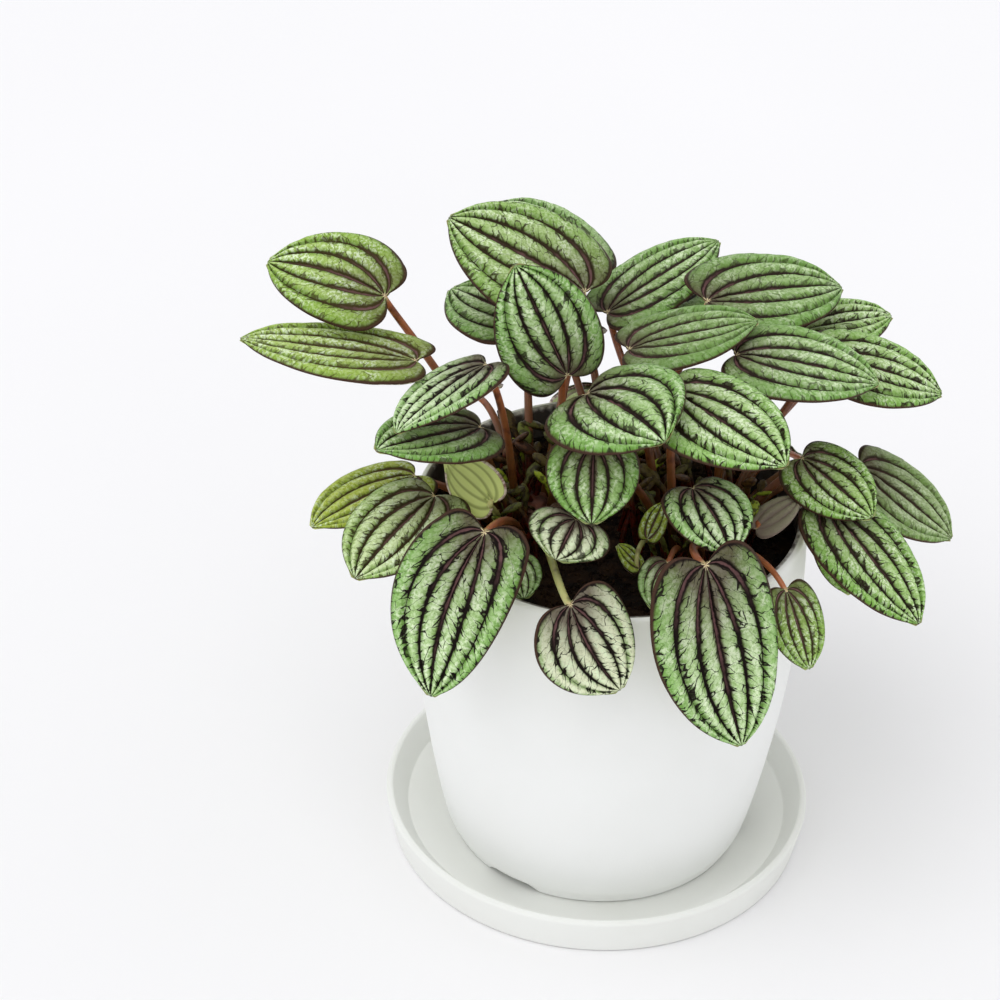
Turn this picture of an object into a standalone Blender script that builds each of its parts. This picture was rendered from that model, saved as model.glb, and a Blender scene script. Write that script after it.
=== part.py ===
"""Potted peperomia: a turned pot on a turned saucer, soil, a crown and a mound of striped leaves.

The origin is the middle of the flat underside of the saucer, +Z is up and -Y is the front.
Sizes are in millimetres up to the point where a mesh is made.
"""
import math

import bmesh
import bpy
from mathutils import Euler, Vector

MM = 0.001
GAP = 0.3                     # clearance between pieces that touch
TURN_STEPS = 40               # facets around the pot and the saucer

# Saucer
SAUCER_HEIGHT = 12.0
SAUCER_RADIUS = 62.5          # outside of the rim
SAUCER_WALL = 1.6
SAUCER_TAPER = 2.0            # the underside is this much narrower in radius
SAUCER_FLOOR = 2.7
SAUCER_COVE = [(7.0, 0.0), (3.0, 0.8), (1.2, 3.2)]    # in from the wall, up from the floor
SAUCER_LIP = 0.5              # rounding of the rim and of the underside's edge

# Pot
POT_BOTTOM = SAUCER_FLOOR + GAP
POT_TOP = 113.0
POT_WALL = 2.6
POT_FOOT_RADIUS = 42.5
POT_RIM_RADIUS = 55.0
POT_BELLY = [(45.0, 8.0), (49.5, 30.0), (53.5, 58.0), (55.4, 85.0)]   # radius, height
FOOT_RING_HEIGHT = 3.0
FOOT_RING_WIDTH = 4.0
FOOT_ARCHES = 3               # drainage arches cut through the foot ring
FOOT_ARCH_ANGLE = 235.0       # degrees from +X to the middle of the first one
FOOT_ARCH_LENGTH = 17.0
DRAIN_RADIUS = 5.0
FOOT_ARCH_RISE = 2.2
FOOT_ARCH_WIDTH = 16.0
POT_LIP = 0.8                 # rounding of the rim
INNER_LEVELS = [30.0, 58.0, 85.0]     # heights where the inside wall turns
INNER_COVE = (4.0, 3.0)       # rounding between the wall and the floor: in, up
COVE_TUCK = 1.0               # the wall draws in by this much at the top of that rounding

# Soil and crown
SOIL_TOP = 103.0
SOIL_MOUND = 2.5              # rise of the soil from the wall to the middle
SOIL_SHOULDER = 28.0          # radius where the mound starts to level off
CROWN_RADIUS = 7.0
CROWN_HEIGHT = 6.0
CROWNS = [(-22.0, 4.0), (22.0, -2.0), (2.0, 24.0)]   # plants share the pot; x, y of each

# Leaves
LEAF_THICKNESS = 0.9
LEAF_FOLD = 0.12              # rise of the blade each side of its midrib
LEAF_CUP = 0.16               # roll-down of the margin
LEAF_LOBE = 0.40              # how far the base lobes reach back, of the length
PETIOLE_RADIUS = 1.0
PETIOLE_POINTS = 7
STALK_GAP = 0.8               # from the soil to the foot of a stalk
STALK_CLEAR = 1.6             # from the crown to the nearest stalk
STALK_OVER_RIM = 6.0          # how far above the rim the bend of a stalk stays
LOW_LEAF = 110.0              # stalks of leaves at this height stand furthest from their crown
HIGH_LEAF = 165.0
STALK_SPREAD = 8.0
BLADE_ROWS = 6
BLADE_COLUMNS = 6

# Each leaf: its crown, where its stalk meets it, its tip, width, bank in degrees, droop, bow,
# and the swing in degrees that keeps the foot of its stalk clear of its neighbours.
LEAVES = [
    (0, (-64, 9, 173), (-97, 24, 174), 30, -25, 0.10, -0.06, -12),
    (0, (-55, -6, 162), (-103, 3, 162), 28, 0, 0.05, 0.00, 0),
    (0, (-36, -12, 165), (-59, -33, 156), 26, 15, 0.20, 0.00, 12),
    (0, (-37, -15, 147), (-64, -37, 153), 27, -5, 0.10, 0.00, -12),
    (0, (-55, -5, 124), (-82, -27, 121), 25, 0, 0.15, 0.00, 0),
    (0, (-49, -22, 129), (-69, -49, 120), 32, 0, 0.20, 0.00, -4),
    (0, (-35, -50, 137), (-48, -68, 96), 32, -20, 0.15, -0.07, 0),
    (0, (-9, 35, 161), (-48, 50, 175), 38, -20, 0.15, 0.00, 0),
    (2, (-9, 62, 150), (-35, 87, 160), 37, 0, 0.15, 0.00, 0),
    (0, (-25, 40, 147), (-47, 55, 149), 34, 0, 0.15, 0.00, 0),
    (0, (-14, -5, 158), (-29, -2, 190), 29, -60, 0.10, 0.00, 8),
    (0, (-9, -22, 163), (11, -43, 162), 40, 12, 0.25, 0.05, 0),
    (1, (-2, 46, 148), (30, 68, 160), 28, 0, 0.10, 0.00, 0),
    (1, (3, 8, 159), (38, 13, 166), 30, 0, 0.10, 0.00, 0),
    (2, (25, 30, 162), (64, 45, 159), 35, 10, 0.20, 0.00, 0),
    (1, (32, 5, 160), (71, 0, 155), 31, 10, 0.20, 0.00, 6),
    (1, (53, 40, 147), (79, 45, 150), 28, 0, 0.10, 0.00, 0),
    (1, (57, 15, 154), (91, 15, 143), 30, 10, 0.20, 0.00, -8),
    (1, (14, -15, 160), (43, -42, 155), 33, 10, 0.15, 0.00, 0),
    (1, (-7, -32, 154), (-7, -45, 137), 25, 0, 0.15, 0.00, 0),
    (0, (-11, -40, 135), (-16, -49, 128), 23, -15, 0.15, 0.00, 8),
    (0, (-12, -62, 123), (2, -68, 100), 28, 40, 0.15, -0.06, 0),
    (1, (23, -55, 132), (35, -70, 84), 36, 15, 0.15, -0.03, 10),
    (1, (46, -43, 116), (53, -54, 98), 18, 0, 0.15, 0.00, 0),
    (1, (20, -31, 140), (30, -47, 130), 25, 0, 0.20, 0.05, 0),
    (1, (52, 0, 130), (71, -15, 121), 26, 8, 0.15, 0.00, 0),
    (1, (72, 25, 111), (99, 15, 94), 33, 0, 0.15, 0.00, 0),
    (1, (59, -10, 121), (84, -35, 100), 30, 0, 0.15, 0.00, 0),
    (1, (64, 10, 103), (70, 0, 84), 19, 0, 0.15, 0.00, 0),
    # Back of the mound
    (2, (-14, 58, 134), (-20, 84, 112), 30, 0, 0.15, 0.00, 0),
    (2, (12, 62, 138), (22, 90, 118), 28, 0, 0.15, 0.00, 10),
    (2, (40, 56, 132), (60, 78, 110), 28, 0, 0.15, 0.00, -4),
    (0, (-40, 48, 118), (-56, 70, 92), 27, 0, 0.15, 0.00, 0),
    (1, (60, 48, 130), (84, 66, 120), 28, 0, 0.15, 0.00, 8),
    (2, (12, 50, 148), (20, 84, 142), 30, 0, 0.15, 0.00, 0),
    (2, (-2, 54, 118), (-6, 76, 92), 28, 0, 0.15, 0.00, 0),
    (2, (30, 52, 116), (40, 74, 88), 28, 0, 0.15, 0.00, 8),
    (1, (55, 28, 112), (74, 42, 84), 24, 0, 0.15, 0.00, -4),
    # Young leaves and small ones deep in the mound
    (0, (-27, -36, 119), (-24, -45, 112), 14, 0, 0.15, 0.00, 0),
    (1, (14, -40, 122), (11, -50, 113), 14, 0, 0.15, 0.00, 0),
    (0, (-33, -26, 130), (-46, -18, 138), 16, 110, 0.15, 0.00, -14),
    (1, (9, -28, 121), (13, -22, 129), 8, 0, 0.15, 0.00, 0),
    (1, (7, -32, 114), (1, -28, 119), 8, 0, 0.15, 0.00, -12),
    (0, (-46, 20, 124), (-64, 32, 118), 21, 0, 0.15, 0.00, 0),
    (1, (39, -19, 119), (51, -12, 125), 12, 0, 0.15, 0.00, 16),
]


def new_material(name, colour, roughness):
    """A Principled material; colour is linear RGB."""
    material = bpy.data.materials.new(name)
    material.use_nodes = True
    shader = material.node_tree.nodes["Principled BSDF"]
    shader.inputs["Base Color"].default_value = (*colour, 1.0)
    shader.inputs["Roughness"].default_value = roughness
    return material


def new_object(name, data, collection, material=None):
    """An object for a mesh or a curve, linked to its collection."""
    obj = bpy.data.objects.new(name, data)
    collection.objects.link(obj)
    if material:
        data.materials.append(material)
    return obj


def turned(name, profile, collection, material):
    """Turn a closed-to-the-axis profile of (radius, height) points around Z."""
    mesh = bpy.data.meshes.new(name)
    points = [(radius * MM, 0.0, height * MM) for radius, height in profile]
    edges = [(i, i + 1) for i in range(len(points) - 1)]
    mesh.from_pydata(points, edges, [])
    obj = new_object(name, mesh, collection, material)
    screw = obj.modifiers.new("Turn", "SCREW")
    screw.steps = TURN_STEPS
    screw.render_steps = TURN_STEPS
    screw.use_merge_vertices = True
    screw.merge_threshold = 0.00001
    screw.use_smooth_shade = True
    return obj


def hide_cutter(obj):
    """Mark a Boolean operand as a tool and not a part."""
    obj.hide_render = True
    obj.display_type = "WIRE"


def saucer_profile():
    """Top of the floor out to the rim, over it, and down to the underside."""
    inner = SAUCER_RADIUS - SAUCER_WALL
    foot = SAUCER_RADIUS - SAUCER_TAPER
    return [
        (0.0, SAUCER_FLOOR),
        *[(inner - back, SAUCER_FLOOR + up) for back, up in SAUCER_COVE],
        (inner, SAUCER_HEIGHT - SAUCER_LIP), (inner + SAUCER_LIP, SAUCER_HEIGHT),
        (SAUCER_RADIUS - SAUCER_LIP, SAUCER_HEIGHT), (SAUCER_RADIUS, SAUCER_HEIGHT - SAUCER_LIP),
        (foot + SAUCER_LIP, 2.0 * SAUCER_LIP), (foot - SAUCER_LIP, 0.0), (0.0, 0.0),
    ]


def pot_outline():
    """Outer radius and height from the foot to just under the rim."""
    return [(POT_FOOT_RADIUS, POT_BOTTOM)] + POT_BELLY + [(POT_RIM_RADIUS, POT_TOP - POT_LIP)]


def pot_inner_radius(height):
    """Inside radius at a height, one wall in from the outside."""
    outline = pot_outline()
    for (r0, z0), (r1, z1) in zip(outline, outline[1:]):
        if height <= z1:
            return r0 + (r1 - r0) * (height - z0) / (z1 - z0) - POT_WALL
    return POT_RIM_RADIUS - POT_WALL


def inner_wall(floor, inset):
    """The pot's inside from its floor to the last turn of the wall, drawn in by an inset."""
    cove_in, cove_up = INNER_COVE
    foot = pot_inner_radius(floor + cove_up) - COVE_TUCK - inset
    wall = [(pot_inner_radius(height) - inset, height) for height in INNER_LEVELS]
    return [(foot - cove_in, floor), (foot, floor + cove_up)] + wall


def pot_profile():
    """From the drain hole in the floor, up the inside, over the rim, and down to the foot ring."""
    recess = POT_BOTTOM + FOOT_RING_HEIGHT
    floor_top = recess + POT_WALL
    mouth = POT_RIM_RADIUS - POT_WALL
    ring_inner = POT_FOOT_RADIUS - FOOT_RING_WIDTH
    return (
        [(DRAIN_RADIUS, floor_top)]
        + inner_wall(floor_top, 0.0)
        + [(mouth, POT_TOP - POT_LIP), (mouth + POT_LIP, POT_TOP), (POT_RIM_RADIUS - POT_LIP, POT_TOP)]
        + pot_outline()[::-1]
        + [(ring_inner, POT_BOTTOM), (ring_inner - POT_LIP, recess), (DRAIN_RADIUS, recess),
           (DRAIN_RADIUS, floor_top)]
    )


def soil_profile():
    """A plug that fills the inside of the pot, mounded towards its middle."""
    bottom = POT_BOTTOM + FOOT_RING_HEIGHT + POT_WALL + GAP
    top = [(0.0, SOIL_TOP + SOIL_MOUND), (SOIL_SHOULDER, SOIL_TOP + 0.6 * SOIL_MOUND),
           (pot_inner_radius(SOIL_TOP) - GAP, SOIL_TOP)]
    return top + inner_wall(bottom, GAP)[::-1] + [(0.0, bottom)]


def crown_profile():
    """The short thick rootstock that the stalks rise round."""
    base = SOIL_TOP + SOIL_MOUND + GAP
    return [(0.0, base + CROWN_HEIGHT), (0.6 * CROWN_RADIUS, base + 0.8 * CROWN_HEIGHT),
            (CROWN_RADIUS, base + 0.3 * CROWN_HEIGHT), (0.8 * CROWN_RADIUS, base), (0.0, base)]


def cut_foot_arches(pot, tools):
    """Cut the drainage arches through the foot ring with lying half-round bars."""
    for index in range(FOOT_ARCHES):
        angle = math.radians(FOOT_ARCH_ANGLE + 360.0 * index / FOOT_ARCHES)
        bm = bmesh.new()
        bmesh.ops.create_cone(bm, cap_ends=True, segments=16, radius1=0.5, radius2=0.5, depth=1.0)
        mesh = bpy.data.meshes.new("foot_arch_cutter")
        bm.to_mesh(mesh)
        bm.free()
        cutter = new_object(f"foot_arch_cutter_{index + 1}", mesh, tools)
        reach = POT_FOOT_RADIUS - 0.5 * FOOT_RING_WIDTH
        cutter.location = Vector((math.cos(angle), math.sin(angle), 0.0)) * reach * MM
        cutter.location.z = POT_BOTTOM * MM
        cutter.rotation_euler = (0.0, math.radians(90.0), angle)
        cutter.scale = (2.0 * FOOT_ARCH_RISE * MM, FOOT_ARCH_LENGTH * MM, FOOT_ARCH_WIDTH * MM)
        hide_cutter(cutter)
        cut = pot.modifiers.new(f"Arch {index + 1}", "BOOLEAN")
        cut.operation = "DIFFERENCE"
        cut.object = cutter


def blade_point(u, v, length, width, droop, bow):
    """A point of a flat-lying blade: u runs along a vein to the tip, v from margin to margin."""
    side = abs(v) ** 1.5
    start = Vector((length * (0.33 * (1.0 - side) - LEAF_LOBE * side), 0.52 * width * v))
    end = Vector((length * (0.67 + 0.05 * side), 0.80 * width * v))
    flat = 3.0 * (1.0 - u) ** 2 * u * start + 3.0 * (1.0 - u) * u * u * end
    flat += u ** 3 * Vector((length, 0.0))
    along = flat.x / length
    across = abs(flat.y) / (0.5 * width)
    rise = LEAF_FOLD * abs(flat.y) - LEAF_CUP * 0.5 * width * across ** 2.5
    arch = droop * length * (max(along, 0.0) - max(along, 0.0) ** 2)
    sideways = bow * length * 4.0 * max(along, 0.0) * (1.0 - along)
    return Vector((flat.x, flat.y + sideways, rise + arch))


def leaf_axes(attach, tip, bank):
    """Unit axes of a blade: along its midrib, across it, and out of its upper face."""
    forward = (tip - attach).normalized()
    up = (Vector((0.0, 0.0, 1.0)) - forward.z * forward).normalized()
    across = up.cross(forward)
    turn = math.radians(bank)
    return (forward, across * math.cos(turn) + up * math.sin(turn),
            up * math.cos(turn) - across * math.sin(turn))


def stalk_points(crown, swing, attach, axes, length):
    """The stalk from its crown, rising and arching over the rim to the notch of the blade.

    High leaves stand close to the crown and low ones further out, so that the stalks don't cross.
    """
    forward, _, up = axes
    ground = Vector((attach.x - crown.x, attach.y - crown.y, 0.0))
    lowness = 1.0 - min(1.0, max(0.0, (attach.z - LOW_LEAF) / (HIGH_LEAF - LOW_LEAF)))
    foot = ground.normalized() * (CROWN_RADIUS + STALK_CLEAR + STALK_SPREAD * lowness)
    foot.rotate(Euler((0.0, 0.0, math.radians(swing))))
    base = crown + foot
    base.z = SOIL_TOP + SOIL_MOUND + STALK_GAP
    end = attach + 0.6 * PETIOLE_RADIUS * forward - 0.5 * LEAF_THICKNESS * up
    lower = base + 0.15 * ground
    lower.z = max(base.z + 0.45 * (attach.z - base.z), POT_TOP + STALK_OVER_RIM)
    upper = end - 0.30 * length * up - 0.06 * length * forward
    upper.z = max(upper.z, POT_TOP + STALK_OVER_RIM + 2.0 * PETIOLE_RADIUS)
    points = []
    for index in range(PETIOLE_POINTS):
        t = index / (PETIOLE_POINTS - 1)
        points.append(
            (1.0 - t) ** 3 * base + 3.0 * (1.0 - t) ** 2 * t * lower
            + 3.0 * (1.0 - t) * t * t * upper + t ** 3 * end)
    return points


def stalk_mesh(name, points, tools):
    """A closed tube along the stalk's points, as a hidden operand."""
    curve = bpy.data.curves.new(name, "CURVE")
    curve.dimensions = "3D"
    curve.bevel_depth = PETIOLE_RADIUS * MM
    curve.bevel_resolution = 1
    curve.use_fill_caps = True
    spline = curve.splines.new("POLY")
    spline.points.add(len(points) - 1)
    for spot, point in zip(spline.points, points):
        spot.co = (*(point * MM), 1.0)
    guide = new_object(name + "_curve", curve, tools)
    graph = bpy.context.evaluated_depsgraph_get()
    mesh = bpy.data.meshes.new_from_object(guide.evaluated_get(graph))
    bm = bmesh.new()
    bm.from_mesh(mesh)
    bmesh.ops.remove_doubles(bm, verts=bm.verts, dist=0.00001)
    bm.to_mesh(mesh)
    bm.free()
    stalk = new_object(name, mesh, tools)
    stalk.matrix_world = guide.matrix_world
    bpy.data.objects.remove(guide)
    hide_cutter(stalk)
    return stalk


def make_leaf(number, row, collection, tools, material):
    """One grown leaf: a domed heart-shaped blade in one piece with its stalk."""
    name = f"leaf_{number:02d}"
    crown_index, attach, tip, width, bank, droop, bow, swing = row
    crown = Vector((*CROWNS[crown_index], 0.0))
    attach = Vector(attach)
    tip = Vector(tip)
    length = (tip - attach).length
    axes = leaf_axes(attach, tip, bank)
    bm = bmesh.new()
    bmesh.ops.create_grid(bm, x_segments=BLADE_ROWS, y_segments=BLADE_COLUMNS, size=1.0)
    for vert in bm.verts:
        local = blade_point(0.5 * (vert.co.x + 1.0), vert.co.y, length, width, droop, bow)
        place = attach + axes[0] * local.x + axes[1] * local.y + axes[2] * local.z
        vert.co = place * MM
    bmesh.ops.remove_doubles(bm, verts=bm.verts, dist=0.00001)
    mesh = bpy.data.meshes.new(name)
    bm.to_mesh(mesh)
    bm.free()
    leaf = new_object(name, mesh, collection, material)
    shell = leaf.modifiers.new("Thickness", "SOLIDIFY")
    shell.thickness = LEAF_THICKNESS * MM
    shell.offset = -1.0
    points = stalk_points(crown, swing, attach, axes, length)
    stalk = stalk_mesh(name + "_stalk", points, tools)
    join = leaf.modifiers.new("Stalk", "BOOLEAN")
    join.operation = "UNION"
    join.object = stalk
    return leaf


def build():
    for obj in list(bpy.data.objects):
        bpy.data.objects.remove(obj)
    parts = bpy.data.collections.new("potted_peperomia")
    tools = bpy.data.collections.new("cutters")
    for collection in (parts, tools):
        bpy.context.scene.collection.children.link(collection)

    glaze = new_material("pot_white", (0.80, 0.80, 0.78), 0.55)
    saucer_white = new_material("saucer_white", (0.74, 0.74, 0.70), 0.55)
    earth = new_material("potting_soil", (0.035, 0.022, 0.014), 0.95)
    stem = new_material("rootstock", (0.22, 0.09, 0.04), 0.70)
    green = new_material("leaf_green", (0.20, 0.42, 0.20), 0.40)

    turned("saucer", saucer_profile(), parts, saucer_white)
    pot = turned("pot", pot_profile(), parts, glaze)
    cut_foot_arches(pot, tools)
    turned("soil", soil_profile(), parts, earth)
    for index, (x, y) in enumerate(CROWNS):
        crown = turned(f"crown_{index + 1}", crown_profile(), parts, stem)
        crown.location = (x * MM, y * MM, 0.0)
    for index, row in enumerate(LEAVES):
        make_leaf(index + 1, row, parts, tools, green)


build()
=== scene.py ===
# %% [markdown]
# # A potted peperomia
# A young house plant in a plain white pot on its saucer. Its blades are heart-shaped and quilted:
# silver-green bands swell between dark, sunken veins that all run from the stalk to the tip.
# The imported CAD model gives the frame. Each piece here stands for one CAD node, except the new
# growth round the crowns, which the CAD leaves out.

# %% Load the frame
import ast
import math

import bmesh
import bpy
from mathutils import Matrix, Vector


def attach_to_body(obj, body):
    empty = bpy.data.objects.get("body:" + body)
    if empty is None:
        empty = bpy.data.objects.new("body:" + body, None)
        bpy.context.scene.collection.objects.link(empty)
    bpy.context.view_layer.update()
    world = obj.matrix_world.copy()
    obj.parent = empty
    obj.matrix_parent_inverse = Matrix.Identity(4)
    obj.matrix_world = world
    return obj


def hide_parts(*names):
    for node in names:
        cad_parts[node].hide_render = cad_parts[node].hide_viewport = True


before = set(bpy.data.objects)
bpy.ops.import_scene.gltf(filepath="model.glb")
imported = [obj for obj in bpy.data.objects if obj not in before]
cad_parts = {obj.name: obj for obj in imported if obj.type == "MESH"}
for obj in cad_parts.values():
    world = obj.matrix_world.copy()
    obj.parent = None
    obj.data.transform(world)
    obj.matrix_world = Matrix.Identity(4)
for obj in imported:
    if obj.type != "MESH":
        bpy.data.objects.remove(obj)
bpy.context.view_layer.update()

# %% [markdown]
# ## Helpers for node trees
# Every tree below is made of nodes joined by links. One small function adds a node with its
# settings and its inputs, where an input is either a value or a link from another node.
# A long sum is easier to read as a line of arithmetic than as twenty boxes, so formula()
# reads such a line and adds its Math nodes.

# %% Add a node, and write a sum as nodes
MM = 0.001
ARITHMETIC = {ast.Add: "ADD", ast.Sub: "SUBTRACT", ast.Mult: "MULTIPLY", ast.Div: "DIVIDE",
              ast.Pow: "POWER"}


def add_node(tree, kind, inputs=None, **settings):
    """Add one node; inputs names sockets (or numbers them) and gives each a value or a link."""
    node = tree.nodes.new(kind)
    for name, value in settings.items():
        setattr(node, name, value)
    for socket, value in (inputs or {}).items():
        if isinstance(value, bpy.types.NodeSocket):
            tree.links.new(value, node.inputs[socket])
        else:
            node.inputs[socket].default_value = value
    return node


def node_out(tree, kind, inputs=None, **settings):
    """Add one node and give its first output."""
    return add_node(tree, kind, inputs, **settings).outputs[0]


def formula(tree, text, **values):
    """Write a line of arithmetic as Math nodes; its functions are named as the node's operations."""
    def build(part):
        if isinstance(part, ast.Constant):
            return part.value
        if isinstance(part, ast.Name):
            return values[part.id]
        if isinstance(part, ast.BinOp):
            operation, terms = ARITHMETIC[type(part.op)], (part.left, part.right)
        else:
            operation, terms = part.func.id.upper(), part.args
        inputs = dict(enumerate(build(term) for term in terms))
        return node_out(tree, "ShaderNodeMath", inputs, operation=operation)
    return build(ast.parse(text).body[0].value)


# %% Colours and materials start here
def linear(code):
    """A six-digit sRGB hex colour as linear red, green, blue and alpha."""
    channels = [int(code[i:i + 2], 16) / 255 for i in (0, 2, 4)]
    return (*[c / 12.92 if c <= 0.04045 else ((c + 0.055) / 1.055) ** 2.4 for c in channels], 1.0)


def new_material(name, roughness, **constants):
    """A material with its tree and its surface shader, whose constants sit on its own sockets."""
    material = bpy.data.materials.new(name)
    material.use_nodes = True
    shader = material.node_tree.nodes["Principled BSDF"]
    shader.inputs["Roughness"].default_value = roughness
    for socket, value in constants.items():
        shader.inputs[socket.replace("_", " ")].default_value = value
    return material, material.node_tree, shader


def new_tree(name, **sizes):
    """A geometry tree with one named input for each size, and the node that reads them."""
    tree = bpy.data.node_groups.new(name, "GeometryNodeTree")
    tree.interface.new_socket("Geometry", in_out="INPUT", socket_type="NodeSocketGeometry")
    for title, kind in sizes.items():
        tree.interface.new_socket(title.replace("_", " "), in_out="INPUT", socket_type="NodeSocket" + kind)
    tree.interface.new_socket("Geometry", in_out="OUTPUT", socket_type="NodeSocketGeometry")
    return tree, add_node(tree, "NodeGroupInput").outputs


def grown(name, tree, sizes, base=None):
    """Run a geometry tree on a new object and keep the result as a plain mesh."""
    piece = bpy.data.objects.new(name, base or bpy.data.meshes.new(name))
    bpy.context.scene.collection.objects.link(piece)
    modifier = piece.modifiers.new("Tree", "NODES")
    modifier.node_group = tree
    for item in tree.interface.items_tree:
        if item.in_out == "INPUT" and item.name in sizes:
            modifier[item.identifier] = sizes[item.name]
    graph = bpy.context.evaluated_depsgraph_get()
    mesh = bpy.data.meshes.new_from_object(piece.evaluated_get(graph), depsgraph=graph)
    piece.modifiers.remove(modifier)
    piece.data = mesh
    mesh.name = name
    return piece


def triangles(piece):
    """How many triangles a piece has."""
    return sum(len(face.vertices) - 2 for face in piece.data.polygons)


# %% Textures and stored numbers
def noise(tree, place, scale, detail=2.0, roughness=0.5):
    """A noise texture read at a place, from 0 to 1."""
    inputs = {"Vector": place, "Scale": scale, "Detail": detail, "Roughness": roughness}
    return node_out(tree, "ShaderNodeTexNoise", inputs)


def object_place(tree):
    """Where a point is on its piece, in metres."""
    return add_node(tree, "ShaderNodeTexCoord").outputs["Object"]


def roughen(tree, shader, height, strength, depth):
    """Give a surface fine relief, where depth is in millimetres."""
    inputs = {"Height": height, "Strength": strength, "Distance": depth * MM}
    tree.links.new(node_out(tree, "ShaderNodeBump", inputs), shader.inputs["Normal"])


def store(tree, geometry, name, value, kind="FLOAT", domain="POINT", **inputs):
    """Store a field on a geometry under a name."""
    inputs = {"Geometry": geometry, "Name": name, "Value": value, **inputs}
    return node_out(tree, "GeometryNodeStoreNamedAttribute", inputs, data_type=kind, domain=domain)


# %% Ends and random draws of a geometry tree
def joined(tree, *meshes):
    """Several meshes as one, in their order."""
    join = add_node(tree, "GeometryNodeJoinGeometry")
    for mesh in meshes:
        tree.links.new(mesh, join.inputs[0])
    return join.outputs[0]


def finish_tree(tree, mesh, material, smooth=True):
    """End a geometry tree: realize the instances, set the material and hand the mesh out."""
    if smooth:
        mesh = node_out(tree, "GeometryNodeSetShadeSmooth", {"Geometry": mesh})
    mesh = node_out(tree, "GeometryNodeRealizeInstances", {"Geometry": mesh})
    mesh = node_out(tree, "GeometryNodeSetMaterial", {"Geometry": mesh, "Material": material})
    add_node(tree, "NodeGroupOutput", {0: mesh})


def random_vector(tree, low, high, seed):
    """A random vector for each point, between two corners."""
    inputs = {0: low, 1: high, "Seed": seed}
    return node_out(tree, "FunctionNodeRandomValue", inputs, data_type="FLOAT_VECTOR")


def random_number(tree, low, high, seed):
    """A random number for each point."""
    inputs = {2: low, 3: high, "Seed": seed}
    return add_node(tree, "FunctionNodeRandomValue", inputs, data_type="FLOAT").outputs[1]


# %% [markdown]
# ## The leaf's finish
# The blade is fleshy and waxy, with a satin skin. A silvery layer of air under that skin makes the
# bands pale, so they are drawn silver-green, freshest towards the margin. The veins are purple-brown
# and fray into short dark veinlets that run out across the bands and fade.
# The pattern follows the growth of the blade, so it can't be painted by position in the room. The
# leaf's own tree stores where each corner lies on the blade, and the material reads that:
# vein_map is how far along, which band and which side; size_map is along and across in
# millimetres, with the leaf's own number; tone is its silver, youth and age, where age is partly
# painted shade.

# %% Leaf skin
def smooth_step(tree, value, low, high):
    """0 below low, 1 above high, and a soft ramp between."""
    inputs = {"Value": value, "From Min": low, "From Max": high}
    return add_node(tree, "ShaderNodeMapRange", inputs, interpolation_type="SMOOTHSTEP").outputs["Result"]


def blend(tree, amount, below, above):
    """One colour over another by an amount from 0 to 1."""
    paints = {6: linear(below) if isinstance(below, str) else below,
              7: linear(above) if isinstance(above, str) else above}
    return add_node(tree, "ShaderNodeMix", {0: amount, **paints}, data_type="RGBA").outputs[2]


def split(tree, name):
    """The three numbers that the mesh stores under a name, and the vector itself."""
    vector = add_node(tree, "ShaderNodeAttribute", attribute_name=name).outputs["Vector"]
    return (*add_node(tree, "ShaderNodeSeparateXYZ", {0: vector}).outputs, vector)


VEINLET_SPACING = 2.7         # mm along the blade between veinlets
VEINLET_STRETCH = 2.3         # how much longer a cell is across the blade than along it
VEINLET_LEAN = 0.75           # how far a veinlet runs towards the tip as it runs outwards
MOTTLE = 0.9                  # mm across one pale fleck

leaf_skin, tree, shader = new_material("waxy_leaf_skin", 0.40, Specular_IOR_Level=0.14)
u, band, v, _ = split(tree, "vein_map")
x, y, seed, place = split(tree, "size_map")
silver, youth, dullness_and_shade, _ = split(tree, "tone")

cloud = noise(tree, place, 0.22, 3.0)
fleck = noise(tree, place, 1.0 / MOTTLE, roughness=0.65)
waver = noise(tree, place, 0.55)

# how far a point is from the nearest vein: 0 on it, 0.5 in the middle of a band
away = formula(tree, "0.5 - absolute(fract(b) - 0.5) + (w - 0.5) * 0.14", b=band, w=waver)
stain = formula(tree, "fract(0.377 * s)", s=seed)
outer = smooth_step(tree, band, 1.2, 2.0)
late = smooth_step(tree, u, 0.35, 0.80)
fading = formula(tree, "1 - 0.75 * o * l", o=outer, l=late)
half = formula(tree, "0.056 + 0.14 * (1 - u) ** 3 + 0.01 * u ** 9 + 0.03 * maximum(0, 1 - 2 * b)",
               u=u, b=band)
half = formula(tree, "h * f * (0.40 + 1.1 * c + 0.25 * k)", h=half, c=cloud, k=stain, f=fading)
groove = formula(tree, "1 - m", m=smooth_step(tree, formula(tree, "a / h", a=away, h=half), 0.7, 1.5))
shoulder = formula(tree, "1 - m", m=smooth_step(tree, formula(tree, "a - h", a=away, h=half), 0.0, 0.11))
# painted shade: down the pillows' slopes towards each vein the bands lose silver and turn a darker green,
# partly the band's own greener edge
vein_side_green_and_shade = formula(tree, "1 - m", m=smooth_step(tree, away, 0.05, 0.42))

# veinlets: the walls of stretched cells, sheared so that they slant towards the tip
slant = node_out(tree, "ShaderNodeCombineXYZ", {
    0: formula(tree, "(x - lean * absolute(y) + (w - 0.5) * 2.4) / s", x=x, y=y, w=waver, s=VEINLET_SPACING,
               lean=VEINLET_LEAN),
    1: formula(tree, "y / s", y=y, s=VEINLET_STRETCH * VEINLET_SPACING), 2: seed})
wall = add_node(tree, "ShaderNodeTexVoronoi", {"Vector": slant, "Scale": 1.0},
                feature="DISTANCE_TO_EDGE").outputs["Distance"]
reach = formula(tree, "0.012 + 0.13 * maximum(0, 1 - a / 0.38) * (0.35 + c)", a=away, c=cloud)
beyond = smooth_step(tree, formula(tree, "w / r", w=wall, r=reach), 0.35, 1.1)
veinlet = formula(tree, "(1 - 0.6 * maximum(g, y)) * (1 - m)", g=dullness_and_shade, y=youth, m=beyond)
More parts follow.
